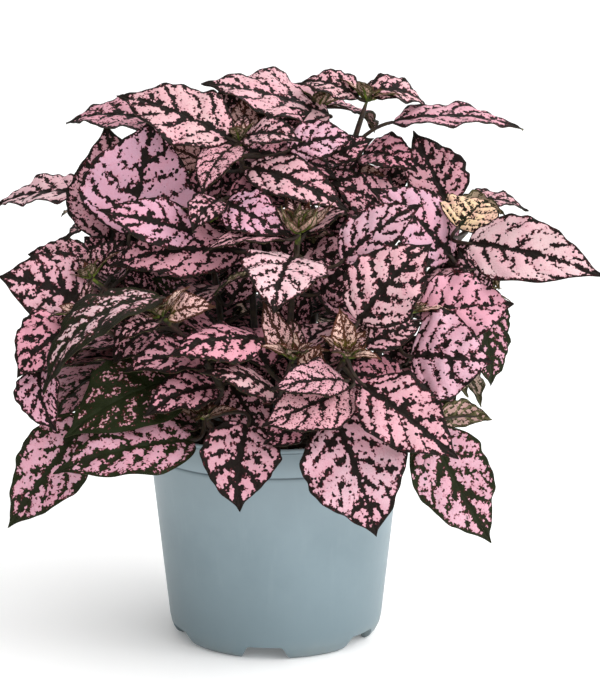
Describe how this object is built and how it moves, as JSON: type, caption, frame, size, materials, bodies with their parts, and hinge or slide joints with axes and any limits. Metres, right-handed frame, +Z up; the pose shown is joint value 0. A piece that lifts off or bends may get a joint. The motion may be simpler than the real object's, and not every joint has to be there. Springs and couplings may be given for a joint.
{
  "type": "potted polka dot plant",
  "caption": "Bushy pink and dark green polka dot plant whose leafy stems stand in soil in a tapered plastic nursery pot with a notched foot.",
  "frame": {"origin": "on the ground, on the pot's axis, under the middle of the foliage", "axes": "+Z up along the pot's axis, -Y towards the front that the picture shows, +X to its right"},
  "size_m": [0.2805, 0.2181, 0.2698],
  "materials": {
    "pot": "satin light blue-grey polypropylene",
    "soil": "moist peat mix, rough and dark brown",
    "leaf": "soft leaf, pink with dark green veins and spots"
  },
  "bodies": {
    "root": {"pot": "pot", "soil": "soil", "stem_top": "leaf", "stem_crown": "leaf", "stem_upper_left": "leaf", "stem_left_shoulder": "leaf", "stem_left": "leaf", "stem_left_front": "leaf", "stem_front_left": "leaf", "stem_low_left": "leaf", "stem_front": "leaf", "stem_front_right": "leaf", "stem_centre": "leaf", "stem_right_front": "leaf", "stem_right": "leaf", "stem_back_left": "leaf", "stem_back": "leaf", "stem_back_right": "leaf", "stem_far_right": "leaf", "stem_far_left": "leaf", "stem_middle": "leaf", "stem_rear_left": "leaf"}
  },
  "joints": []
}
